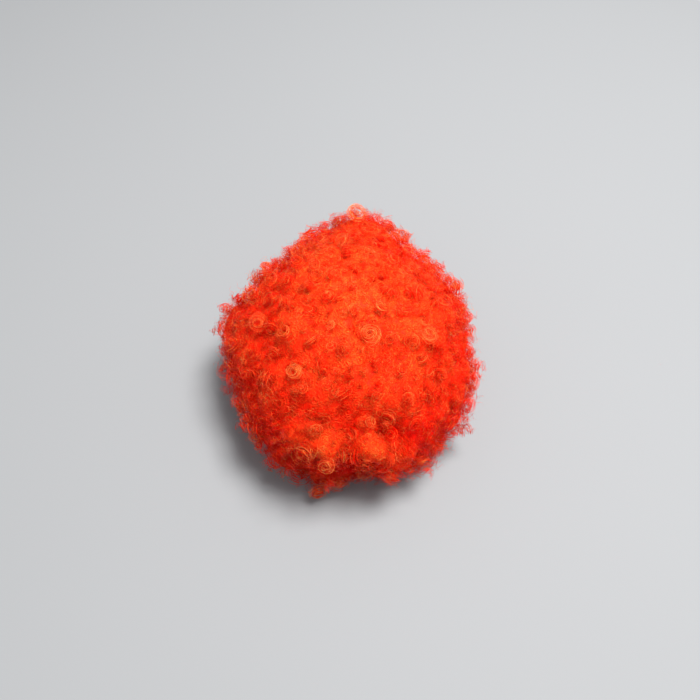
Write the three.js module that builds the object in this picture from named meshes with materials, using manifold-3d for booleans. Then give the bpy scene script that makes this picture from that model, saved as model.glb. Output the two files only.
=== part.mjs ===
// A curly party wig resting on its rim: a hollow stretch cap, and rows of ringlets on wefts that are sewn round the cap
// from the crown to the hem. Millimetres, +Z up, the front towards -Y, the origin on the ground under the middle.
import * as THREE from "three";
import { mergeVertices } from "three/addons/utils/BufferGeometryUtils.js";
import Module from "manifold-3d";

const wasm = await Module();
wasm.setup();

// Driving dimensions
const CAP = {
  halfWidth: 79,
  halfLength: 98,
  height: 122,
  wall: 2,
  hemWall: 4,
  hemDepth: 14,
  fullness: 2.3, // 2 is an ellipse, and more is squarer
  rings: 6,
};
const HAIR = {
  halfWidth: 148,
  halfLength: 163,
  height: 182,
  waist: 76, // the height at which it is widest
  takeover: 0.5, // the fall by which the plan table holds in full
  tuck: 27, // degrees that it turns under, from the waist to the ground
  backing: 0.77, // how far out the matted roots reach, as a share of the hair's depth
  overreach: 1.3, // how far out the room for a weft's ringlets goes, as a share of the hair's depth
};
const COLUMNS = 24; // facets round the cap and round each weft's backing
const GAP = { sewn: 1, between: 0.5 }; // from a weft to the cap, and from a weft to the next

// The hair's reach round the head, as a share of its half width and half length. Azimuth 0 is +X and 90 is the back.
const PLAN = [
  { azimuth: 0, reach: 0.95 },
  { azimuth: 30, reach: 0.98 },
  { azimuth: 60, reach: 0.97 },
  { azimuth: 90, reach: 1.1 },
  { azimuth: 120, reach: 0.95 },
  { azimuth: 150, reach: 0.9 },
  { azimuth: 180, reach: 1.02 },
  { azimuth: 210, reach: 0.95 },
  { azimuth: 240, reach: 1.0 },
  { azimuth: 270, reach: 0.95 },
  { azimuth: 300, reach: 1.02 },
  { azimuth: 330, reach: 1.02 },
];

// The wefts from the crown down. sewn is where a weft starts on the cap and falls is where its hair starts on the hair's
// outside, both from 0 at the crown to 1 at the ground; it ends where the next one starts. Each has so many ringlets of
// that radius.
const WEFTS = [
  { name: "crown_curls", sewn: 0.0, falls: 0.0, ringlets: 5, radius: 19 },
  { name: "weft_1", sewn: 0.22, falls: 0.15, ringlets: 11, radius: 19 },
  { name: "weft_2", sewn: 0.4, falls: 0.33, ringlets: 16, radius: 20 },
  { name: "weft_3", sewn: 0.57, falls: 0.51, ringlets: 20, radius: 20 },
  { name: "weft_4", sewn: 0.72, falls: 0.68, ringlets: 21, radius: 20 },
  { name: "hem_weft", sewn: 0.86, falls: 0.84, ringlets: 21, radius: 20 },
];

// A ringlet's own form: it hangs down its weft in a bow, and three ridges wind round it. In its bow, down is from the
// top of the weft to its foot, and out is how far the ringlet stands out from where it would just reach the outside,
// as a share of the hair's depth.
const RINGLET = {
  sides: 6,
  valley: 0.84, // of the radius, between two ridges
  twist: 60, // degrees from root to tip
  trim: 0.6, // the depth at which what is buried in the backing is cut off, as a share of the hair's depth
  bow: [
    { down: 0.0, out: -0.1 },
    { down: 0.5, out: 0.16 },
    { down: 1.05, out: -0.08 },
  ],
  profile: [
    { along: 0, radius: 0 },
    { along: 0.12, radius: 0.85 },
    { along: 0.5, radius: 1.0 },
    { along: 0.88, radius: 0.85 },
    { along: 1, radius: 0 },
  ],
};
const SCATTER = { seed: 7, azimuth: 0.25, lean: 0.35, down: 0.15, out: 0.05 };

const COLOURS = { curls: 0xf0300c, cap: 0x8c1208 };

const turn = THREE.MathUtils.degToRad;

// Numbers from 0 to 1, the same ones each time.
let state = SCATTER.seed;
function chance() {
  state = (state * 16807) % 2147483647;
  return state / 2147483647;
}

function spread(range) {
  return range * (2 * chance() - 1);
}

// A closed three.js geometry as a solid for joining and cutting.
function solidOf(geometry) {
  const bare = new THREE.BufferGeometry();
  bare.setAttribute("position", geometry.getAttribute("position"));
  bare.setIndex(geometry.getIndex());
  const merged = mergeVertices(bare, 1e-3);
  return new wasm.Manifold(
    new wasm.Mesh({
      numProp: 3,
      vertProperties: merged.getAttribute("position").array,
      triVerts: new Uint32Array(merged.getIndex().array),
    }),
  );
}

function geometryOf(solid) {
  const mesh = solid.getMesh();
  const geometry = new THREE.BufferGeometry();
  geometry.setAttribute("position", new THREE.BufferAttribute(mesh.vertProperties, 3));
  geometry.setIndex(new THREE.BufferAttribute(mesh.triVerts, 1));
  return geometry;
}

// The cap's outside at an azimuth in degrees, moved out by a distance.
function capPoint(azimuth, fall, out = 0) {
  const angle = turn(90 * fall);
  const round = (value) => Math.pow(Math.max(value, 0), 2 / CAP.fullness);
  const reach = round(Math.sin(angle));
  return new THREE.Vector3(
    (CAP.halfWidth + out) * reach * Math.cos(turn(azimuth)),
    (CAP.halfLength + out) * reach * Math.sin(turn(azimuth)),
    fall >= 1 ? 0 : (CAP.height + out) * round(Math.cos(angle)),
  );
}

// The plan table, eased from one row to the next.
function planReach(azimuth) {
  const step = 360 / PLAN.length;
  const place = (((azimuth % 360) + 360) % 360) / step;
  const before = Math.floor(place);
  const ease = THREE.MathUtils.smoothstep(place - before, 0, 1);
  const [from, to] = [before, before + 1].map((i) => PLAN[i % PLAN.length].reach);
  return THREE.MathUtils.lerp(from, to, ease);
}

// The hair's outside: a dome above the waist, which tucks under to the ground below it. Its crown is round, and the
// plan table takes over on the way down.
function hairPoint(azimuth, fall) {
  const angle = turn((90 + HAIR.tuck) * fall);
  const takeover = THREE.MathUtils.smoothstep(fall, 0, HAIR.takeover);
  const reach = Math.sin(angle) * THREE.MathUtils.lerp(1, planReach(azimuth), takeover);
  const below = HAIR.waist / Math.sin(turn(HAIR.tuck));
  const rise = Math.cos(angle) > 0 ? HAIR.height - HAIR.waist : below;
  return new THREE.Vector3(
    HAIR.halfWidth * reach * Math.cos(turn(azimuth)),
    HAIR.halfLength * reach * Math.sin(turn(azimuth)),
    fall >= 1 ? 0 : HAIR.waist + rise * Math.cos(angle),
  );
}

// A closed ring, or a dome if its section starts and ends on the axis, from the section at each azimuth. Each four-sided
// face is split along its shorter diagonal, so that faces on the two sides of a gap are split alike.
function ringOf(sectionAt, columns) {
  const points = [];
  for (let i = 0; i < columns; i++) {
    points.push(...sectionAt((360 * i) / columns));
  }
  const rows = points.length / columns;
  const triangles = [];
  for (let i = 0; i < columns; i++) {
    for (let j = 0; j < rows; j++) {
      const here = i * rows;
      const next = ((i + 1) % columns) * rows;
      const down = (j + 1) % rows;
      const [a, b, c, d] = [here + j, here + down, next + down, next + j];
      const short = points[a].distanceTo(points[c]) < points[b].distanceTo(points[d]);
      triangles.push(...(short ? [a, b, c, a, c, d] : [a, b, d, b, c, d]));
    }
  }
  const geometry = new THREE.BufferGeometry().setFromPoints(points);
  geometry.setIndex(triangles);
  return solidOf(geometry);
}

// What lies between two wefts' bounds, from one share of the hair's depth to another, and a margin inside the bounds.
function betweenBounds(weft, next, from, to, margin) {
  const top = weft.sewn > 0 ? margin / HAIR.height : 0;
  const foot = next.sewn < 1 ? margin / HAIR.height : 0;
  const steps = [0, 0.5, 1];
  const sewnAt = (share) => THREE.MathUtils.lerp(weft.sewn + top, next.sewn - foot, share);
  const fallsAt = (share) => THREE.MathUtils.lerp(weft.falls + top, next.falls - foot, share);
  return ringOf((azimuth) => {
    const atDepth = (depth) => (share) =>
      capPoint(azimuth, sewnAt(share), GAP.sewn).lerp(hairPoint(azimuth, fallsAt(share)), depth);
    return [...steps.map(atDepth(to)), ...steps.map(atDepth(from)).reverse()];
  }, COLUMNS);
}

// A thick lock along a bowed line, with ridges that wind round it.
function ringlet(bow, radius) {
  const middle = new THREE.QuadraticBezierCurve3(...bow);
  const phase = 360 * chance();
  const rings = RINGLET.profile.map((row) => {
    const ahead = middle.getTangent(row.along);
    const side = new THREE.Vector3(-bow[1].y, bow[1].x, 0).cross(ahead).normalize();
    const across = side.clone().cross(ahead);
    return { ...row, at: middle.getPoint(row.along), side, across };
  });
  return ringOf((azimuth) => {
    const ridge = Math.round((azimuth * RINGLET.sides) / 360) % 2 === 0;
    const reach = radius * (ridge ? 1 : RINGLET.valley);
    return rings.map((ring) => {
      const angle = turn(phase + azimuth + RINGLET.twist * ring.along);
      return ring.at
        .clone()
        .addScaledVector(ring.side, reach * ring.radius * Math.cos(angle))
        .addScaledVector(ring.across, reach * ring.radius * Math.sin(angle));
    });
  }, RINGLET.sides);
}

// A weft's matted backing with its ringlets fused to it, trimmed to the weft's own bounds and to the ground.
function weftSolid(weft, next, index) {
  const room = betweenBounds(weft, next, RINGLET.trim, HAIR.overreach, GAP.between / 2);
  let hair = betweenBounds(weft, next, 0, HAIR.backing, GAP.between);
  for (let i = 0; i < weft.ringlets; i++) {
    const place = i + (index % 2) / 2 + spread(SCATTER.azimuth);
    const lean = spread(SCATTER.lean);
    const slip = spread(SCATTER.down);
    const bow = RINGLET.bow.map((row) => {
      const azimuth = (360 * (place + lean * row.down)) / weft.ringlets;
      const down = row.down + slip;
      const sewn = capPoint(azimuth, THREE.MathUtils.lerp(weft.sewn, next.sewn, down));
      const outside = hairPoint(azimuth, THREE.MathUtils.lerp(weft.falls, next.falls, down));
      const reach = 1 - weft.radius / sewn.distanceTo(outside);
      return sewn.lerp(outside, reach + row.out + spread(SCATTER.out));
    });
    hair = hair.add(ringlet(bow, weft.radius).intersect(room));
  }
  return hair;
}

// The stretch cap: one wall from the crown to a thicker hem, which is turned in and leaves a ledge inside. Open below.
function capGeometry() {
  const wallPoints = [];
  const outsidePoints = [];
  for (let i = 0; i <= CAP.rings; i++) {
    const outside = capPoint(0, i / CAP.rings);
    outsidePoints.push(new THREE.Vector2(outside.x, outside.z));
    const inside = capPoint(0, i / CAP.rings, -CAP.wall);
    if (inside.z > CAP.hemDepth) wallPoints.push(new THREE.Vector2(inside.x, inside.z));
  }
  const lowest = wallPoints.at(-1);
  const rim = CAP.halfWidth - CAP.wall;
  const ledge = THREE.MathUtils.mapLinear(CAP.hemDepth, 0, lowest.y, rim, lowest.x);
  const hemPoints = [
    new THREE.Vector2(ledge, CAP.hemDepth),
    new THREE.Vector2(CAP.halfWidth - CAP.hemWall, CAP.hemDepth),
    new THREE.Vector2(CAP.halfWidth - CAP.hemWall, 0),
  ];
  const section = [...wallPoints, ...hemPoints, ...outsidePoints.reverse()];
  const wall = new THREE.LatheGeometry(section, COLUMNS);
  return wall.rotateX(turn(90)).scale(1, CAP.halfLength / CAP.halfWidth, 1);
}

const wig = new THREE.Group();

function addPiece(name, geometry, colour, roughness) {
  const material = new THREE.MeshStandardMaterial({ color: colour, roughness, metalness: 0 });
  const piece = new THREE.Mesh(geometry, material);
  piece.name = name;
  wig.add(piece);
}

addPiece("cap", capGeometry(), COLOURS.cap, 0.85);
WEFTS.forEach((weft, index) => {
  const next = WEFTS[index + 1] ?? { sewn: 1, falls: 1 };
  addPiece(weft.name, geometryOf(weftSolid(weft, next, index)), COLOURS.curls, 0.5);
});

// The origin goes on the ground under the middle of the box that holds the wig.
const middle = new THREE.Box3().setFromObject(wig).getCenter(new THREE.Vector3());
wig.position.set(-middle.x, -middle.y, 0);

export default wig;
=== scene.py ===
"""A curly party wig on a pale studio floor: a stretch-knit cap, and wefts of red ringlets sewn round it.

Metres, +Z up, the front towards -Y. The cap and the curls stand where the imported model's solids are.
"""
import functools
import math
from collections import namedtuple

import bmesh
import bpy
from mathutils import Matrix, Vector, noise
from mathutils.bvhtree import BVHTree


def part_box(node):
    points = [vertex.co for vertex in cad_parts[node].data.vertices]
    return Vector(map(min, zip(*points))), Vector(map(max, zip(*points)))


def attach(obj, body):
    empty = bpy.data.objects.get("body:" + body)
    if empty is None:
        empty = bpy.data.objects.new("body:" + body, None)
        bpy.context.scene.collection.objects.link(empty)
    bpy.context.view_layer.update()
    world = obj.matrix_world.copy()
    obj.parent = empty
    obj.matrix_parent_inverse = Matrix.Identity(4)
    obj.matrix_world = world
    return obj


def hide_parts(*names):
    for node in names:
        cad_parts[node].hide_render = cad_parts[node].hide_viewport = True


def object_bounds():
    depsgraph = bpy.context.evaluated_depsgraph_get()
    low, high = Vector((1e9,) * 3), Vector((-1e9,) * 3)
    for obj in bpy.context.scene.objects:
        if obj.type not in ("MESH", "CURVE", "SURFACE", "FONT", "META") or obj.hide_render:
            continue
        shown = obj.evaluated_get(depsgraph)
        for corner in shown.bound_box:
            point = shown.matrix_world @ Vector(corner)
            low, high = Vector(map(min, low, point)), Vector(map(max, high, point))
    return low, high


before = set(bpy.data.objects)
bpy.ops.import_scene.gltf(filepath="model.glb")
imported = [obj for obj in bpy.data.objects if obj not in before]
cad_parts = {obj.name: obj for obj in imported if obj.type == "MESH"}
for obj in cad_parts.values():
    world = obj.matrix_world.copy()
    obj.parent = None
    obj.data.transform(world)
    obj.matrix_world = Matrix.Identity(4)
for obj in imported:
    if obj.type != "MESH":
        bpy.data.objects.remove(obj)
solid_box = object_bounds()


# The cap
# A close cap knitted in one piece from stretch yarn, which carries the whole wig. Its rim is turned in
# and stitched down as a doubled hem, and the head goes in from below.
CAP_FULLNESS = 2.3  # 2 is an ellipse, and more is squarer
CAP_WALL = 0.002
CAP_COLUMNS = 72
CAP_ROWS = 18
STITCH = 0.0026  # one knitted loop, across and along
LEG_CLIMB = 0.6  # how far each leg of a loop climbs, in loops
LEG_FLATNESS = 0.5  # 1 is a peaked yarn, and less is a flatter one
KNIT_RELIEF = 0.0006
BUMP_STRENGTH = 0.8
YARN_PATCHES = 0.08  # patches of paler yarn, to a loop
# The darkest colour is painted shade in the gaps between the knitted loops.
PAINTED_SHADE_BETWEEN_YARNS = (0.05, 0.002, 0.002, 1)
DEEP_YARN = (0.16, 0.008, 0.005, 1)
PALE_YARN = (0.24, 0.014, 0.008, 1)

# The hem's swell from its stitching down to the rim, as shares of its depth and of its wall.
HEM_DEPTH = 0.014
HEM_WALL = 0.004
HemStep = namedtuple("HemStep", "down thickness")
HEM_STEPS = [
    HemStep(0.0, 0.8),
    HemStep(0.12, 1.0),
    HemStep(0.5, 1.1),
    HemStep(0.88, 1.0),
    HemStep(1.0, 0.8),
]

cap_low, cap_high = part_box("cap")
cap_foot = Vector(((cap_low.x + cap_high.x) / 2, (cap_low.y + cap_high.y) / 2, cap_low.z))
cap_half = Vector((cap_high.x - cap_foot.x, cap_high.y - cap_foot.y, cap_high.z - cap_low.z))


class Wire:
    """A socket of a node tree. Sums on wires add Math nodes, and node() adds any other node."""

    def __init__(self, tree, socket=None):
        self.tree = tree
        self.socket = socket

    def __getitem__(self, name):
        return Wire(self.tree, self.find(self.socket.node.outputs, name))

    @staticmethod
    def find(sockets, name):
        if isinstance(name, int):
            return sockets[name]
        return next(socket for socket in sockets if socket.enabled and socket.name == name)

    def node(self, kind, settings=None, inputs=None):
        """Adds a node, its settings before its sockets' values or wires. Gives its first output."""
        made = self.tree.nodes.new(kind)
        for name, value in (settings or {}).items():
            setattr(made, name, value)
        for name, value in (inputs or {}).items():
            socket = self.find(made.inputs, name)
            if isinstance(value, Wire):
                self.tree.links.new(value.socket, socket)
            else:
                socket.default_value = value
        outputs = [socket for socket in made.outputs if socket.enabled]
        return Wire(self.tree, outputs[0] if outputs else None)

    def feed(self, node, name):
        """Links this wire to an input of a node that is already there."""
        self.tree.links.new(self.socket, node.inputs[name])

    @property
    def is_vector(self):
        return self.socket.type in ("VECTOR", "RGBA")

    def maths(self, operation, *others):
        """One Math node on this wire and others, or a Vector Math node if one of them is a vector."""
        terms = [self, *others]
        kind = "ShaderNodeMath"
        if any(getattr(term, "is_vector", isinstance(term, tuple)) for term in terms):
            kind = "ShaderNodeVectorMath"
            terms = [(term,) * 3 if isinstance(term, (int, float)) else term for term in terms]
        return self.node(kind, {"operation": operation}, dict(enumerate(terms)))

    def __add__(self, other):
        return self.maths("ADD", other)

    def __sub__(self, other):
        return self.maths("SUBTRACT", other)

    def __rsub__(self, other):
        return (self * -1.0) + other

    def __mul__(self, other):
        if self.is_vector and isinstance(other, Wire) and not other.is_vector:
            return self.node("ShaderNodeVectorMath", {"operation": "SCALE"}, {0: self, "Scale": other})
        if not self.is_vector and getattr(other, "is_vector", False):
            return other * self
        return self.maths("MULTIPLY", other)

    def __truediv__(self, other):
        return self.maths("DIVIDE", other)

    __radd__ = __add__
    __rmul__ = __mul__

    def eased(self, low, high, start=0.0, end=1.0):
        """Goes smoothly from start to end as this wire goes from low to high."""
        inputs = {"Value": self, "From Min": low, "From Max": high, "To Min": start, "To Max": end}
        return self.node("ShaderNodeMapRange", {"interpolation_type": "SMOOTHSTEP"}, inputs)

    def mixed(self, low, high):
        """The colour low where this wire is 0, and high where it is 1."""
        inputs = {"Factor": self, "A": low, "B": high}
        return self.node("ShaderNodeMix", {"data_type": "RGBA"}, inputs)

    def clouds(self, scale, detail):
        """Soft noise from 0 to 1, at the place that this wire gives."""
        return self.node("ShaderNodeTexNoise", inputs={"Vector": self, "Scale": scale, "Detail": detail})

    def relief(self, height):
        """A bump of that height where this wire is 1."""
        inputs = {"Height": self, "Distance": height, "Strength": BUMP_STRENGTH}
        return self.node("ShaderNodeBump", inputs=inputs)


def finish_of(name, **sockets):
    """A new material of one Principled shader. Gives it, the shader and a wire to start from."""
    material = bpy.data.materials.new(name)
    material.use_nodes = True
    material.node_tree.nodes.clear()
    start = Wire(material.node_tree)
    inputs = {socket.replace("_", " "): value for socket, value in sockets.items()}
    shader = start.node("ShaderNodeBsdfPrincipled", inputs=inputs)
    start.node("ShaderNodeOutputMaterial", inputs={"Surface": shader})
    return material, shader.socket.node, start


def knit_finish():
    """Fine plain knit in dull red yarn: slanted legs of loops in wales, with painted shade between them.
    """
    material, shader, start = finish_of("cap_knit", Roughness=0.88, Sheen_Weight=0.25)
    place = start.node("ShaderNodeUVMap", {"uv_map": "knit"})
    wale = start.node("ShaderNodeSeparateXYZ", inputs={"Vector": place})
    course = wale["Y"]

    def ridge(span):
        """A peak in the middle of a span that goes from 0 to 1."""
        return (1.0 - (span - 0.5).maths("ABSOLUTE") * 2.0).maths("POWER", LEG_FLATNESS)

    leg = (wale.maths("FRACT") - 0.5).maths("ABSOLUTE") * 2.0
    loop = ridge(leg) * ridge((course + leg * LEG_CLIMB).maths("FRACT"))
    yarn = place.clouds(YARN_PATCHES, 3.0).eased(0.3, 0.7).mixed(DEEP_YARN, PALE_YARN)
    # The loops show their own yarn, with painted shade between them.
    loop.eased(0.1, 0.6).mixed(PAINTED_SHADE_BETWEEN_YARNS, yarn).feed(shader, "Base Color")
    loop.relief(KNIT_RELIEF).feed(shader, "Normal")
    return material


def cap_point(azimuth, fall, inset):
    """A point so far inside the cap's outside. fall goes from 0 at the crown to 1 at the rim."""
    angle = math.radians(90 * min(fall, 1))
    reach, rise = (max(wave, 0) ** (2 / CAP_FULLNESS) for wave in (math.sin(angle), math.cos(angle)))
    around = ((cap_half.x - inset) * math.cos(azimuth), (cap_half.y - inset) * math.sin(azimuth))
    height = 0 if fall >= 1 else (cap_half.z - inset) * rise
    return cap_foot + Vector((around[0] * reach, around[1] * reach, height))


def cap_mesh():
    """The wall as one closed skin: up the outside, down the inside, over the hem and under the rim."""
    hem_share = HEM_DEPTH / (cap_half.z - CAP_WALL)
    hem_fall = math.degrees(math.acos(hem_share ** (CAP_FULLNESS / 2))) / 90
    outside = [(1 - row / CAP_ROWS, 0) for row in range(CAP_ROWS)]
    inside = [(hem_fall * row / CAP_ROWS, CAP_WALL) for row in range(1, CAP_ROWS + 1)]
    hem = [(hem_fall + (1 - hem_fall) * step.down, HEM_WALL * step.thickness) for step in HEM_STEPS]
    rows = outside + inside + hem
    skin = bmesh.new()
    knit = skin.loops.layers.uv.new("knit")
    turns = [2 * math.pi * column / CAP_COLUMNS for column in range(CAP_COLUMNS)]
    rings = [[skin.verts.new(cap_point(turn, fall, inset)) for turn in turns] for fall, inset in rows]
    outer_crown = skin.verts.new(cap_point(0, 0, 0))
    inner_crown = skin.verts.new(cap_point(0, 0, CAP_WALL))
    wales = round(math.pi * (cap_half.x + cap_half.y) / STITCH)
    run = [0.0]
    for ring, following in zip(rings, rings[1:] + rings[:1]):
        run.append(run[-1] + (ring[0].co - following[0].co).length)

    def face(corners, places):
        made = skin.faces.new(corners)
        made.smooth = True
        for loop, (column, row) in zip(made.loops, places):
            loop[knit].uv = (wales * column / CAP_COLUMNS, run[row] / STITCH)

    for i in range(CAP_COLUMNS):
        j = (i + 1) % CAP_COLUMNS
        for row, ring in enumerate(rings):
            above = (row + 1) % len(rings)
            following = rings[above]
            if row == CAP_ROWS - 1:
                face((ring[i], ring[j], outer_crown), ((i, row), (i + 1, row), (i, row + 1)))
                face((following[j], following[i], inner_crown), ((i + 1, above), (i, above), (i, row)))
            else:
                corners = (ring[i], ring[j], following[j], following[i])
                face(corners, ((i, row), (i + 1, row), (i + 1, row + 1), (i, row + 1)))
    mesh = bpy.data.meshes.new("cap_wall")
    skin.to_mesh(mesh)
    skin.free()
    return mesh


def place_piece(name, data):
    """A new object in the scene, at the origin."""
    piece = bpy.data.objects.new(name, data)
    bpy.context.scene.collection.objects.link(piece)
    return piece


cap = place_piece("knitted_cap", cap_mesh())
cap.data.materials.append(knit_finish())
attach(cap, "root")
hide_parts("cap")


# The matted roots
# Under the curls each weft's fibres are packed into a dense mass, which its weft holds to the cap.
# Together the masses have the form of the wefts' solids, drawn in towards the cap by the depth of the
# loose curls that stand on them.
WEFTS = ["crown_curls", "weft_1", "weft_2", "weft_3", "weft_4", "hem_weft"]
HAIR_MIDDLE = 0.035  # the height that the hair's outside is seen from
FAR_OUT = 0.5  # further out than any hair
FLOOR_CLEARANCE = 0.0012
LOOSE_FROM = 1.2  # how many caps out the loose curls start
ROOTS_KEEP = 0.855  # of the hair's depth from the cap to its outside
ROOTS_FINENESS = 6  # each step more cuts the skin's faces into four
ROOTS_SPREAD = 2  # edges that the fullest places are widened by, which bridges the gaps between locks
ROOTS_SMOOTHING = 10
ROOTS_ON_CAP = 1.02  # how many caps out the roots' inside is
ROOTS_EDGE = math.radians(55)  # a sharper edge than this isn't shaded round
TUFT_WIDTH = 0.036
TUFT_SHARPNESS = 12.0  # more makes sharper creases
TUFT_EVEN = 0.35  # how far from a tuft's middle its slope is neither raised nor sunk, in tufts
CROWN_LEVEL = 0.0054  # how far the tufts' slopes stand out on the whole, on the crown and at the hem
HEM_LEVEL = -0.0058
CROWN_CREASE = 0.006  # how deep the creases between tufts are, on the crown and at the hem
HEM_CREASE = 0.045
FULLY_LIT_HEIGHT = 0.0075  # the heights at which the fibres get the full painted light, and the deepest painted shade
FULLY_SHADED_HEIGHT = -0.010
HEM_PAINTED_LIGHT = 0.45  # the painted light that the fibres keep at the floor, beside the crown's: painted shade low down
TANGLE_SCALE = 150.0  # waves of the tangled fibres, to a metre
TANGLE_BEND = 0.006
SWIRL_SHARE = 0.7  # how much of the paleness the coils take, and the rest is even
ROOTS_RELIEF = 0.002
# The packed fibres' colour under the deepest painted shade, and under full painted light on the coils'
# rings.
DEEP_ROOTS = (0.68, 0.002, 0.0005, 1)
PALE_ROOTS = (0.88, 0.140, 0.016, 1)

# Coils seen from their ends in the packed fibres: how many to a metre, the rings in one, how clear.
Coils = namedtuple("Coils", "cells rings strength")
WIDE_COILS = Coils(75.0, 6.0, 1.0)
FINE_COILS = Coils(120.0, 4.0, 0.7)

# Locks of the front and sides that stand out of the rest, and gaps between them, with a negative
# height. Azimuth and rise are the way from the hair's middle, in degrees. The heights also set the
# painted light: paler on the locks, and painted shade in the gaps.
Lock = namedtuple("Lock", "azimuth rise width height")
LOCKS = [
    Lock(-99, 28, 0.016, 0.012),
    Lock(-82, 28, 0.017, 0.012),
    Lock(-67, 19, 0.016, 0.007),
    Lock(-112, 26, 0.015, 0.006),
    Lock(-90, 14, 0.013, -0.022),
    Lock(-104, 14, 0.013, -0.026),
    Lock(-114, 10, 0.011, -0.022),
    Lock(-124, 3, 0.015, 0.010),
    Lock(-75, 32, 0.009, -0.009),
    Lock(-83, 9, 0.013, -0.012),
    Lock(-106, -4, 0.010, 0.008),
    Lock(-95, 3, 0.009, 0.006),
    Lock(-168, 22, 0.016, -0.018),
]

# Where the whole of the hair is fuller or thinner than its solids, which leaves its colour as it is.
FULLNESS = [
    Lock(112, 38, 0.026, -0.008),
    Lock(131, 40, 0.026, -0.009),
    Lock(42, 43, 0.026, -0.011),
    Lock(-142, 18, 0.024, 0.005),
    Lock(-37, 14, 0.024, 0.006),
    Lock(172, 24, 0.022, 0.005),
    Lock(12, 25, 0.026, -0.007),
    Lock(80, 43, 0.022, 0.005),
    Lock(-66, 4, 0.022, -0.010),
    Lock(-170, 10, 0.018, -0.007),
    Lock(-90, -4, 0.014, -0.006),
]

hair_middle = cap_foot + Vector((0, 0, HAIR_MIDDLE))


def cap_gauge(point):
    """How many caps out a point lies: 1 on the cap's outside."""
    offset = point - cap_foot
    across = math.hypot(offset.x / cap_half.x, offset.y / cap_half.y)
    up = max(offset.z, 0) / cap_half.z
    return (across**CAP_FULLNESS + up**CAP_FULLNESS) ** (1 / CAP_FULLNESS)


def weft_tree(weft, keep):
    """A weft's solid for finding its outside, drawn in towards the cap to a share of the hair's depth."""
    form = bmesh.new()
    form.from_mesh(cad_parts[weft].data)
    for vert in form.verts:
        on_cap = 1 / cap_gauge(vert.co)
        vert.co = cap_foot + (vert.co - cap_foot) * (on_cap + keep * (1 - on_cap))
    tree = BVHTree.FromBMesh(form)
    form.free()
    return tree


@functools.cache
def way_of(azimuth, rise):
    """The way that an azimuth and a rise point, both in degrees."""
    turn, slope = math.radians(azimuth), math.radians(rise)
    return Vector((math.cos(turn) * math.cos(slope), math.sin(turn) * math.cos(slope), math.sin(slope)))


def standing_out(locks, place):
    """How far a list of locks and gaps moves the hair's outside at a place."""
    offset = place - hair_middle
    gaps = [(offset - way_of(lock.azimuth, lock.rise) * offset.length).length for lock in locks]
    return sum(lock.height * math.exp(-((gap / lock.width) ** 2)) for lock, gap in zip(locks, gaps))


def tuft_height(place):
    """How far the hair stands out: most in the middle of a tuft, and least in the creases round it."""
    distances = noise.voronoi(place / TUFT_WIDTH)[0]
    nearest = -math.log(sum(math.exp(-TUFT_SHARPNESS * gap) for gap in distances)) / TUFT_SHARPNESS
    fall = 1 - min(place.z / solid_box[1].z, 1)
    level = CROWN_LEVEL + (HEM_LEVEL - CROWN_LEVEL) * fall
    crease = CROWN_CREASE + (HEM_CREASE - CROWN_CREASE) * fall**2
    return level - (nearest - TUFT_EVEN) * crease + standing_out(LOCKS, place)


def painted_light_at(place, height):
    """How much painted light the fibres get: most on the tufts of the crown, with painted shade in
    creases and towards the floor.
    """
    raised = min(max((height - FULLY_SHADED_HEIGHT) / (FULLY_LIT_HEIGHT - FULLY_SHADED_HEIGHT), 0), 1)
    return raised**2 * (HEM_PAINTED_LIGHT + (1 - HEM_PAINTED_LIGHT) * min(place.z / solid_box[1].z, 1))


def hair_skin(keep, fineness, spread, smoothing):
    """One open skin over all the wefts' solids. Each point has its weft's number and its painted light.
    """
    trees = [weft_tree(weft, keep) for weft in WEFTS]
    skin = bmesh.new()
    carrier = skin.verts.layers.float.new("weft")
    shade = skin.verts.layers.float.new("shade")
    bmesh.ops.create_icosphere(skin, subdivisions=fineness, radius=1)
    reached = {}
    for vert in skin.verts:
        hits = [tree.ray_cast(hair_middle + vert.co * FAR_OUT, -vert.co, FAR_OUT) for tree in trees]
        found = [(FAR_OUT - hit[3], row) for row, hit in enumerate(hits) if hit[0]]
        reach, row = max(found, default=(0, 0))
        if vert.co.z > 0 or cap_gauge(hair_middle + vert.co * reach) > LOOSE_FROM:
            reached[vert] = (reach, row)
    bmesh.ops.delete(skin, geom=[vert for vert in skin.verts if vert not in reached], context="VERTS")
    beside = {vert: [edge.other_vert(vert) for edge in vert.link_edges] for vert in skin.verts}
    for _ in range(spread):
        reached = {vert: max(reached[near] for near in [vert] + beside[vert]) for vert in skin.verts}
    for vert, (reach, row) in reached.items():
        vert.co = hair_middle + vert.co * reach
        vert[carrier] = row
    every_way = {"use_axis_x": True, "use_axis_y": True, "use_axis_z": True}
    for _ in range(smoothing):
        bmesh.ops.smooth_vert(skin, verts=skin.verts, factor=0.5, **every_way)
    skin.normal_update()
    for vert, height in [(vert, tuft_height(vert.co)) for vert in skin.verts]:
        vert.co += vert.normal * (height + standing_out(FULLNESS, vert.co))
        vert.co.z = max(vert.co.z, FLOOR_CLEARANCE)
        vert[shade] = painted_light_at(vert.co, height)
    return skin


def roots_of(row):
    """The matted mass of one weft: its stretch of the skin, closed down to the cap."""
    mass = roots_skin.copy()
    carrier = mass.verts.layers.float["weft"]
    others = [face for face in mass.faces if round(sum(v[carrier] for v in face.verts) / 3) != row]
    bmesh.ops.delete(mass, geom=others, context="FACES")
    inside = bmesh.ops.extrude_face_region(mass, geom=mass.faces[:], use_keep_orig=True)
    for vert in inside["geom"]:
        if isinstance(vert, bmesh.types.BMVert):
            vert.co = cap_foot + (vert.co - cap_foot) * (ROOTS_ON_CAP / cap_gauge(vert.co))
    bmesh.ops.recalc_face_normals(mass, faces=mass.faces)
    for face in mass.faces:
        face.smooth = True
    for edge in mass.edges:
        edge.smooth = edge.calc_face_angle(0) < ROOTS_EDGE
    mesh = bpy.data.meshes.new(WEFTS[row] + "_roots")
    mass.to_mesh(mesh)
    mass.free()
    mesh.attributes.remove(mesh.attributes["weft"])
    return mesh


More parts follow.
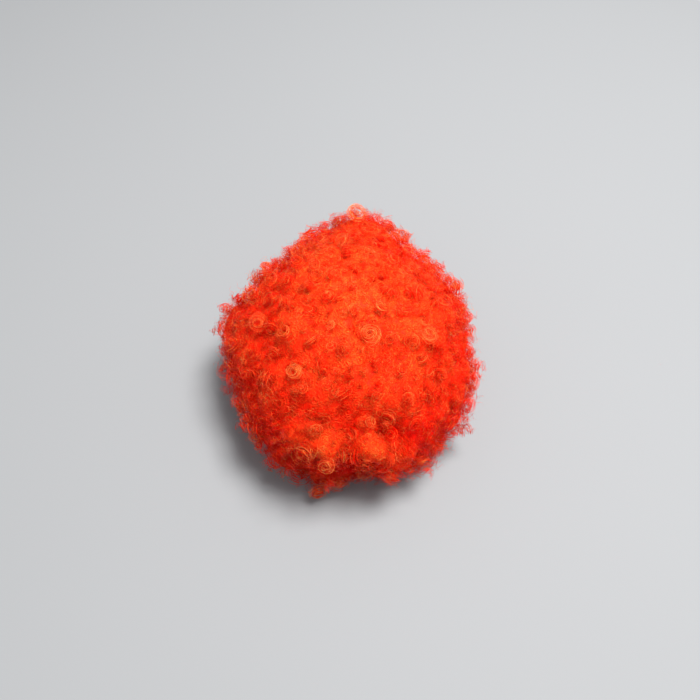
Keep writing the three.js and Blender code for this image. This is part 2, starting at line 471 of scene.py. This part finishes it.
def roots_finish():
    """Packed fibres: deep red, with the coils of the curls beneath seen from their ends, and painted
    shade in creases and towards the floor.
    """
    material, shader, start = finish_of(
        "packed_fibres",
        Roughness=0.6,
        Specular_IOR_Level=0.05,
        Subsurface_Weight=0.6,
        Subsurface_Radius=(0.006, 0.001, 0.0005),
        Subsurface_Scale=1.0,
    )
    place = start.node("ShaderNodeTexCoord")["Object"]
    tangle = place.clouds(TANGLE_SCALE, 3.0)
    bent = place + (tangle["Color"] - 0.5) * TANGLE_BEND

    def rings_of(coils):
        """Thin rings round the middle of each coil."""
        reach = start.node("ShaderNodeTexVoronoi", inputs={"Vector": bent, "Scale": coils.cells})
        wave = (reach * (2 * math.pi * coils.rings)).maths("SINE") * 0.5 + 0.5
        return wave.maths("POWER", 2.0) * coils.strength

    swirls = rings_of(WIDE_COILS).maths("MAXIMUM", rings_of(FINE_COILS)) * tangle.eased(0.35, 0.6)
    # Paler on the coils' rings, and deep red under the painted shade of creases and low places.
    shade = start.node("ShaderNodeAttribute", {"attribute_name": "shade"})["Fac"]
    pale = (swirls * SWIRL_SHARE + (1 - SWIRL_SHARE)) * shade
    pale.mixed(DEEP_ROOTS, PALE_ROOTS).feed(shader, "Base Color")
    swirls.relief(ROOTS_RELIEF).feed(shader, "Normal")
    return material


roots_skin = hair_skin(ROOTS_KEEP, ROOTS_FINENESS, ROOTS_SPREAD, ROOTS_SMOOTHING)
packed_fibres = roots_finish()
for row, weft in enumerate(WEFTS):
    roots = place_piece(weft + "_roots", roots_of(row))
    roots.data.materials.append(packed_fibres)
    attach(roots, "root")
    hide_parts(weft)
roots_skin.free()


# The ringlets
# Glossy synthetic fibre set into tight corkscrew curls. Each ringlet is a few flat bundles of fibres
# that wind round one axis, sprung out of the matted roots. On the crown they stand out, and lower down
# they hang.
HAIR_KEEP = 0.89  # of the hair's depth, where the loose curls start
HAIR_FINENESS = 7
HAIR_SPREAD = 4
HAIR_SMOOTHING = 40
DENSEST = 90000.0  # tries for a curl on a square metre, before those too near another are dropped
CREASE_SIZE = 0.8  # of a curl in the deepest crease, beside one on a tuft
CLUMP_SCALE = 26.0  # patches of curls that lean alike, to a metre
LEAN_ALONE = 1.1  # how far a curl leans by itself, beside its patch
CURL_TONE_SHARE = 0.3  # of a strand's paleness, what its whole curl has
PALE_FROM = 0.72  # the draws at which a strand starts to be a painted highlight, and is wholly one
PALE_BY = 0.85
PALE_IN_CREASE = 0.35  # how much of its painted highlight such a strand keeps under the deepest painted shade, beside one on a tuft
SUNK = 0.06  # the share of a strand that lies below its foot
OPEN_BY = 0.14  # where along a strand its coil is at its full width, and where it starts to close
CLOSE_FROM = 0.6
STRAY_SCALE = 70.0  # waves in a strand's path, to a metre
STRAY_BY = 0.4  # where along a strand it strays in full
NOISE_SPAN = 4.0  # takes noise that is centred on 0 to about -1 to 1
ASKEW = (0.31, 0.53, 0.79)  # a way that no curl's axis has
FLATNESS = 0.55  # of a bundle's thickness to its width
ROOT_WIDTH = 0.5  # of a bundle's width, at its root and at its tip
TIP_WIDTH = 0.35
THICK_BY = 0.2  # where along a strand its bundle is at its full width, and where it starts to thin
THIN_FROM = 0.5
CELL_EDGE_ACROSS = 0.1  # the bare edge of a strand's cell in the map that its finish is kept on
CELL_EDGE_ALONG = 0.05
ROUNDING = 0.001  # keeps a whole number from being cut to the one below it
ROOT_SHADE_BY = 0.5  # how far along a strand the painted shade at its root reaches
# DEEP_FIBRE is the fibre's deep red and its colour under painted shade; BRIGHT_FIBRE is the palest tone,
# that of painted highlights and lit tufts.
DEEP_FIBRE = (0.82, 0.004, 0.0005, 1)
BRIGHT_FIBRE = (0.95, 0.290, 0.070, 1)

# What stays on a grown mesh: its form, its map, and what its finish reads.
KEPT_ATTRIBUTES = [
    "position",
    "OFBake",
    "tone_and_painted_light",
    "along",
    "material_index",
    "sharp_face",
    ".edge_verts",
    ".corner_vert",
    ".corner_edge",
]

# What is told to the tree that grows the curls. Hair is the skin that it scatters them on, or, where
# Placed is true, one point for each curl.
CURL_INPUTS = {
    "Hair": "Geometry",
    "Placed": "Bool",
    "Weft": "Int",
    "Spacing": "Float",
    "Strands": "Int",
    "Points": "Int",
    "Coil": "Float",
    "Turns": "Float",
    "Rise": "Float",
    "Lean": "Float",
    "Droop": "Float",
    "Lift": "Float",
    "Spread": "Float",
    "Tip": "Float",
    "Stray": "Float",
    "Width": "Float",
    "Tone": "Float",
    "Seed": "Int",
    "Finish": "Material",
}

# What differs from curl to curl and, from slip on, from strand to strand, drawn evenly from low to high.
Draw = namedtuple("Draw", "seed low high")
DRAWS = {
    "lean": Draw(1, (-1, -1, -1), (1, 1, 1)),
    "hand": Draw(2, 0.0, 1.0),
    "size": Draw(3, 0.7, 1.3),
    "turns": Draw(4, 0.7, 1.35),
    "phase": Draw(5, 0.0, 2 * math.pi),
    "curl_tone_and_painted_light": Draw(6, 0.0, 1.0),
    "reach": Draw(7, 0.7, 1.35),
    "slip": Draw(11, -1.0, 1.0),
    "swell": Draw(12, 0.35, 1.1),
    "strand_phase": Draw(13, -1.0, 1.0),
    "drift": Draw(14, (0, 0, 0), (9, 9, 9)),
    # Which strands are pale: these are painted highlights.
    "pale": Draw(15, 0.0, 1.0),
}


def curl_tree():
    """Scatters curls over the roots, and winds each one's strands round its axis as closed tubes."""
    tree = bpy.data.node_groups.new("curls", "GeometryNodeTree")
    for name, kind in CURL_INPUTS.items():
        tree.interface.new_socket(name, in_out="INPUT", socket_type="NodeSocket" + kind)
    tree.interface.new_socket("Curls", in_out="OUTPUT", socket_type="NodeSocketGeometry")
    start = Wire(tree)
    given = start.node("NodeGroupInput")
    position = start.node("GeometryNodeInputPosition")

    def keep(geometry, name, value, kind="FLOAT"):
        settings = {"data_type": kind, "domain": "POINT"}
        inputs = {"Geometry": geometry, "Name": name, "Value": value}
        return start.node("GeometryNodeStoreNamedAttribute", settings, inputs)

    def kept(name, kind="FLOAT"):
        return start.node("GeometryNodeInputNamedAttribute", {"data_type": kind}, {"Name": name})

    def drawn(name, **instead):
        """A row of DRAWS as a random value, with what is given instead of the row's own."""
        draw = DRAWS[name]._replace(**instead)
        kind = "FLOAT_VECTOR" if isinstance(draw.high, tuple) else "FLOAT"
        inputs = {"Min": draw.low, "Max": draw.high, "Seed": draw.seed}
        return start.node("FunctionNodeRandomValue", {"data_type": kind}, inputs)

    def repeat(geometry, amount):
        inputs = {"Geometry": geometry, "Amount": amount}
        return start.node("GeometryNodeDuplicateElements", {"domain": "POINT"}, inputs)

    # One point for each curl: where it is rooted, which way it points, how wide and how many turns.
    scattered = start.node(
        "GeometryNodeDistributePointsOnFaces",
        {"distribute_method": "POISSON"},
        {
            "Mesh": given["Hair"],
            "Distance Min": given["Spacing"],
            "Density Max": DENSEST,
            "Density Factor": 1.0 - (kept("weft") - given["Weft"]).maths("ABSOLUTE"),
            "Seed": given["Seed"],
        },
    )
    points = keep(scattered, "out", scattered["Normal"], "FLOAT_VECTOR")
    points = keep(points, "size", drawn("size") * (kept("shade") * (1 - CREASE_SIZE) + CREASE_SIZE))
    placed = start.node("GeometryNodeMeshToPoints", inputs={"Mesh": given["Hair"]})
    inputs = {"Switch": given["Placed"], "False": points, "True": placed}
    curls = start.node("GeometryNodeSwitch", {"input_type": "GEOMETRY"}, inputs)
    together = position.clouds(CLUMP_SCALE, 1.0)["Color"] - 0.5
    leaning = (together + drawn("lean") * LEAN_ALONE) * given["Lean"]
    down = start.node("ShaderNodeCombineXYZ", inputs={"Z": -1.0})
    axis = kept("out", "FLOAT_VECTOR") + leaning + given["Droop"] * down
    hand = drawn("hand").maths("GREATER_THAN", 0.5) * 2.0 - 1.0
    points = keep(curls, "foot", position, "FLOAT_VECTOR")
    points = keep(points, "axis", axis.maths("NORMALIZE"), "FLOAT_VECTOR")
    points = keep(points, "coil", given["Coil"] * kept("size"))
    points = keep(points, "turns", given["Turns"] * drawn("turns"))
    points = keep(points, "reach", given["Rise"] * drawn("reach"))
    points = keep(points, "hand", hand)
    points = keep(points, "phase", drawn("phase"))
    # Tone is the least paleness of a curl: on the loose rings it lifts them as a painted highlight.
    points = keep(points, "curl_tone_and_painted_light", drawn("curl_tone_and_painted_light", low=given["Tone"]))

    # One point for each strand: its own slip along the curl, its size, and its tone with painted light in
    # it.
    strands = repeat(points, given["Strands"])
    points = keep(strands, "strand", start.node("GeometryNodeInputIndex"), "INT")
    points = keep(points, "slip", drawn("slip") * given["Spread"])
    points = keep(points, "swell", drawn("swell"))
    points = keep(points, "phase", kept("phase") + drawn("strand_phase") * given["Spread"])
    points = keep(points, "drift", drawn("drift"), "FLOAT_VECTOR")
    # A strand's tone: its curl's random tone and, on a share of strands, a painted highlight, both dimmed
    # by painted shade in creases and towards the floor.
    shade = kept("shade")
    painted_highlight = drawn("pale").eased(PALE_FROM, PALE_BY) * (1 - CURL_TONE_SHARE)
    painted_highlight = painted_highlight * (shade * (1 - PALE_IN_CREASE) + PALE_IN_CREASE)
    points = keep(points, "tone_and_painted_light", kept("curl_tone_and_painted_light") * CURL_TONE_SHARE * shade + painted_highlight)
    settings = {"component": "POINTCLOUD"}
    count = start.node("GeometryNodeAttributeDomainSize", settings, {"Geometry": points})

    # One point for each step along a strand, joined up and wound into place.
    steps = repeat(points, given["Points"])
    points = keep(steps, "along", steps["Duplicate Index"] / (given["Points"] - 1.0))
    along = kept("along")
    inputs = {"Points": points, "Curve Group ID": kept("strand", "INT"), "Weight": along}
    curves = start.node("GeometryNodePointsToCurves", inputs=inputs)
    axis = kept("axis", "FLOAT_VECTOR")
    side = axis.maths("CROSS_PRODUCT", ASKEW).maths("NORMALIZE")
    upward = axis.maths("CROSS_PRODUCT", side)
    turned = kept("phase") + along * kept("turns") * kept("hand") * (2 * math.pi)
    radial = side * turned.maths("COSINE") + upward * turned.maths("SINE")
    opened = along.eased(0.0, OPEN_BY)
    closing = along.eased(CLOSE_FROM, 1.0, 1.0, given["Tip"])
    radius = kept("coil") * kept("swell") * opened * closing
    risen = ((along - SUNK) * kept("turns") + kept("slip")) * kept("reach") + given["Lift"]
    place = kept("foot", "FLOAT_VECTOR") + axis * risen + radial * radius
    wander = (place * STRAY_SCALE + kept("drift", "FLOAT_VECTOR")).clouds(1.0, 1.0)["Color"] - 0.5
    place = place + wander * (given["Stray"] * along.eased(0.0, STRAY_BY) * NOISE_SPAN)
    place = place.maths("MAXIMUM", (-FAR_OUT, -FAR_OUT, FLOOR_CLEARANCE))
    curves = start.node("GeometryNodeSetPosition", inputs={"Geometry": curves, "Position": place})
    inputs = {"Curve": curves, "Normal": radial}
    curves = start.node("GeometryNodeSetCurveNormal", {"mode": "FREE"}, inputs)

    # A flat three-sided bundle swept along each strand.
    section = start.node("GeometryNodeCurvePrimitiveCircle", inputs={"Resolution": 3, "Radius": 0.5})
    inputs = {"Geometry": section, "Scale": (FLATNESS, 1.0, 1.0)}
    section = start.node("GeometryNodeTransform", inputs=inputs)
    section = keep(section, "around", start.node("GeometryNodeSplineParameter"))
    thinning = along.eased(THIN_FROM, 1.0, 1.0, TIP_WIDTH)
    thickening = along.eased(0.0, THICK_BY, ROOT_WIDTH, 1.0)
    inputs = {
        "Curve": curves,
        "Profile Curve": section,
        "Scale": given["Width"] * thinning * thickening,
        "Fill Caps": True,
    }
    mesh = start.node("GeometryNodeCurveToMesh", inputs=inputs)
    mesh = start.node("GeometryNodeSetShadeSmooth", inputs={"Geometry": mesh})

    # Each strand has its own cell in a map of rows and columns, which the finish is kept on.
    columns = count.maths("SQRT").maths("CEIL")
    rows = (count / columns).maths("CEIL")
    row = (kept("strand", "INT") / columns + ROUNDING).maths("FLOOR")
    column = kept("strand", "INT") - row * columns
    across = kept("around") * (1 - 2 * CELL_EDGE_ACROSS) + CELL_EDGE_ACROSS
    lengthwise = along * (1 - 2 * CELL_EDGE_ALONG) + CELL_EDGE_ALONG
    inputs = {"X": (column + across) / columns, "Y": (row + lengthwise) / rows}
    cell = start.node("ShaderNodeCombineXYZ", inputs=inputs)
    settings = {"data_type": "FLOAT2", "domain": "CORNER"}
    inputs = {"Geometry": mesh, "Name": "OFBake", "Value": cell}
    mesh = start.node("GeometryNodeStoreNamedAttribute", settings, inputs)
    mesh = start.node("GeometryNodeRealizeInstances", inputs={"Geometry": mesh})
    mesh = start.node("GeometryNodeSetMaterial", inputs={"Geometry": mesh, "Material": given["Finish"]})
    start.node("NodeGroupOutput", inputs={"Curls": mesh})
    return tree


def fibre_finish():
    """Glossy dyed fibre: each bundle has its own tone, with painted highlights and painted shade in it,
    and painted shade deepens it at its root.
    """
    material, shader, start = finish_of(
        "curled_fibre",
        Roughness=0.26,
        Specular_IOR_Level=0.65,
        Specular_Tint=(1.0, 0.30, 0.04, 1),
        Subsurface_Weight=0.5,
        Subsurface_Radius=(0.001, 0.00004, 0.00002),
        Subsurface_Scale=1.0,
    )
    tone_and_painted_light = start.node("ShaderNodeAttribute", {"attribute_name": "tone_and_painted_light"})["Fac"]
    along = start.node("ShaderNodeAttribute", {"attribute_name": "along"})["Fac"]
    # Painted shade at the root, then the strand's tone with its painted light.
    colour = along.eased(0.0, ROOT_SHADE_BY).mixed(DEEP_FIBRE, tone_and_painted_light.mixed(DEEP_FIBRE, BRIGHT_FIBRE))
    colour.feed(shader, "Base Color")
    return material


def settle(piece):
    """Makes what the piece's modifiers give its plain mesh, and removes them."""
    graph = bpy.context.evaluated_depsgraph_get()
    grown = piece.evaluated_get(graph)
    made = bpy.data.meshes.new_from_object(grown, preserve_all_data_layers=True, depsgraph=graph)
    piece.modifiers.clear()
    piece.data = made


def grow(name, roots, tree, sizes):
    """Grows curls of those sizes on a mesh, as one plain mesh of the object that it gives."""
    curls = place_piece(name, roots.copy())
    growing = curls.modifiers.new("growing", "NODES")
    growing.node_group = tree
    sockets = {item.name: item.identifier for item in tree.interface.items_tree if item.in_out == "INPUT"}
    for label, value in sizes.items():
        growing[sockets[label]] = value
    settle(curls)
    for attribute in [attribute.name for attribute in curls.data.attributes]:
        if attribute not in KEPT_ATTRIBUTES:
            curls.data.attributes.remove(curls.data.attributes[attribute])
    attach(curls, "root")
    return curls


# How the curls hang on each weft: size is of a curl, and droop the pull of gravity on its axis.
Hang = namedtuple("Hang", "weft size droop")
HANGS = [
    Hang("crown_curls", 0.8, 0.0),
    Hang("weft_1", 0.9, 0.05),
    Hang("weft_2", 1.0, 0.1),
    Hang("weft_3", 1.05, 0.15),
    Hang("weft_4", 1.1, 0.2),
    Hang("hem_weft", 1.15, 0.3),
]

# The layers of curls. Spacing, coil, rise of one turn, stray and width are lengths. Turns are of one
# curl, spread is how far its strands differ, and stray how far a strand leaves its own coil.
Layer = namedtuple("Layer", "name spacing strands points coil turns rise lean spread stray width")
LAYERS = [
    Layer("ringlets", 0.0240, 9, 20, 0.0082, 1.9, 0.0070, 0.9, 0.45, 0.0008, 0.0005),
    Layer("curls", 0.0118, 5, 12, 0.0058, 1.9, 0.0052, 1.0, 0.6, 0.0012, 0.0004),
    Layer("frizz", 0.0044, 1, 12, 0.0048, 2.0, 0.0055, 1.0, 0.6, 0.0022, 0.0003),
]
LOOSE_TIP = 0.3  # of a coil's width, at its strands' tips

hair_mesh = bpy.data.meshes.new("hair")
skin = hair_skin(HAIR_KEEP, HAIR_FINENESS, HAIR_SPREAD, HAIR_SMOOTHING)
skin.to_mesh(hair_mesh)
skin.free()
growing_tree = curl_tree()
fibre = fibre_finish()
for depth, layer in enumerate(LAYERS):
    for row, hang in enumerate(HANGS):
        sizes = {
            "Weft": row,
            "Spacing": layer.spacing,
            "Strands": layer.strands,
            "Points": layer.points,
            "Coil": layer.coil * hang.size,
            "Turns": layer.turns,
            "Rise": layer.rise * hang.size,
            "Lean": layer.lean,
            "Droop": hang.droop,
            "Spread": layer.spread,
            "Tip": LOOSE_TIP,
            "Stray": layer.stray,
            "Width": layer.width,
            "Seed": row + depth * len(HANGS),
            "Finish": fibre,
        }
        curls = grow(f"{hang.weft}_{layer.name}", hair_mesh, growing_tree, sizes)
        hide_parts(hang.weft)


# The loose rings
# Here and there a whole ringlet has sprung clear of the others, and lies on them as a ring of fibres or
# hangs at the edge. Each one starts from the hair's outside, the way that azimuth and rise point from
# the hair's middle, in degrees.
RING_FACING = Vector((0, -0.53, 0.85))  # the side that the rings turn towards
RING_SIZES = {
    "Placed": True,
    "Strands": 12,
    "Points": 26,
    "Coil": 1.0,
    "Turns": 1.9,
    "Rise": 0.0045,
    "Lean": 0.5,
    "Lift": 0.003,
    "Spread": 0.45,
    "Tip": 0.5,
    "Stray": 0.0016,
    "Width": 0.0005,
    # The rings' fibres are drawn the palest, as a painted highlight.
    "Tone": 1.15,
    "Seed": 90,
    "Finish": fibre,
}
Ring = namedtuple("Ring", "azimuth rise coil")
RINGS = [
    Ring(-170, 49, 0.0091),
    Ring(165, 42, 0.0096),
    Ring(-123, 51, 0.0076),
    Ring(-149, 11, 0.0065),
    Ring(-67, 68, 0.0104),
    Ring(-29, 55, 0.0088),
    Ring(-106, 35, 0.0086),
    Ring(-98, 23, 0.0078),
    Ring(-104, -5, 0.0108),
    Ring(-96, -2, 0.0075),
    Ring(-84, 7, 0.0093),
    Ring(-74, 10, 0.0071),
    Ring(-63, 4, 0.0063),
    Ring(140, 30, 0.0080),
    Ring(128, 52, 0.0086),
    Ring(93, 62, 0.0084),
    Ring(26, 30, 0.0078),
    Ring(87, 43, 0.0101),
    Ring(64, 40, 0.0079),
    Ring(-83, 38, 0.0072),
    Ring(-61, 13, 0.0084),
    Ring(-134, 8, 0.0070),
]


def ring_roots():
    """One point on the hair's outside for each ring, with its size, its painted light and the way it
    faces.
    """
    polygons = [tuple(face.vertices) for face in hair_mesh.polygons]
    outside = BVHTree.FromPolygons([vert.co for vert in hair_mesh.vertices], polygons)
    feet, facings = [], []
    for ring in RINGS:
        foot, normal, _, _ = outside.ray_cast(hair_middle, way_of(ring.azimuth, ring.rise))
        feet.append(foot)
        facings.append((normal + RING_FACING).normalized())
    mesh = bpy.data.meshes.new("ring_roots")
    mesh.from_pydata(feet, [], [])

    def give(name, kind, field, values):
        mesh.attributes.new(name, kind, "POINT").data.foreach_set(field, values)

    give("out", "FLOAT_VECTOR", "vector", [part for facing in facings for part in facing])
    give("size", "FLOAT", "value", [ring.coil for ring in RINGS])
    give("shade", "FLOAT", "value", [painted_light_at(foot, FULLY_LIT_HEIGHT) for foot in feet])
    return mesh


grow("loose_rings", ring_roots(), growing_tree, RING_SIZES)


# The floor, the light and the camera
# A plain pale floor under soft studio light: one wide lamp from above, a little to the right, and even
# light from all round. The camera looks down on the front.
FLOOR_HALF = 1.1
FLOOR_GREY = (0.24, 0.243, 0.247, 1)
FLOOR_PALE = (0.25, 0.253, 0.257, 1)
MOTTLE_SCALE = 1.5  # patches of the paler grey, to a metre
LAMP_PLACE = Vector((0.8, 0.1, 2.85))
LAMP_WATTS = 184.0
LAMP_SIZE = 1.0
ROOM_LIGHT = (0.95, 0.97, 1.0, 1)
ROOM_STRENGTH = 0.55
CAMERA_RISE = math.radians(58)
CAMERA_DISTANCE = 0.72
PICTURE_WIDTH = 700
FOCAL_PIXELS = 660
AIM = Vector((0.004, -0.018, 0.076))  # what the lamp and the camera look at

floor_mesh = bpy.data.meshes.new("floor")
corners = [(-1, -1), (1, -1), (1, 1), (-1, 1)]
floor_mesh.from_pydata([(x * FLOOR_HALF, y * FLOOR_HALF, 0) for x, y in corners], [], [range(4)])
floor = place_piece("studio_floor", floor_mesh)
floor_finish, floor_shader, floor_start = finish_of("pale_floor", Roughness=0.8)
mottle = floor_start.node("ShaderNodeTexCoord")["Object"].clouds(MOTTLE_SCALE, 2.0)
mottle.mixed(FLOOR_GREY, FLOOR_PALE).feed(floor_shader, "Base Color")
floor_mesh.materials.append(floor_finish)


def set_up(name, data, place):
    """A lamp or camera in the scene, turned towards the wig."""
    thing = place_piece(name, data)
    thing.location = place
    thing.rotation_euler = (AIM - place).to_track_quat("-Z", "Y").to_euler()
    return thing


light = bpy.data.lights.new("key", "AREA")
light.energy = LAMP_WATTS
light.size = LAMP_SIZE
set_up("key", light, LAMP_PLACE)

world = bpy.data.worlds.new("studio")
world.use_nodes = True
room = world.node_tree.nodes["Background"]
room.inputs["Color"].default_value = ROOM_LIGHT
room.inputs["Strength"].default_value = ROOM_STRENGTH
bpy.context.scene.world = world
bpy.context.scene.view_settings.view_transform = "Standard"

camera_data = bpy.data.cameras.new("camera")
camera_data.lens = FOCAL_PIXELS * camera_data.sensor_width / PICTURE_WIDTH
camera_place = AIM + CAMERA_DISTANCE * Vector((0, -math.cos(CAMERA_RISE), math.sin(CAMERA_RISE)))
bpy.context.scene.camera = set_up("camera", camera_data, camera_place)
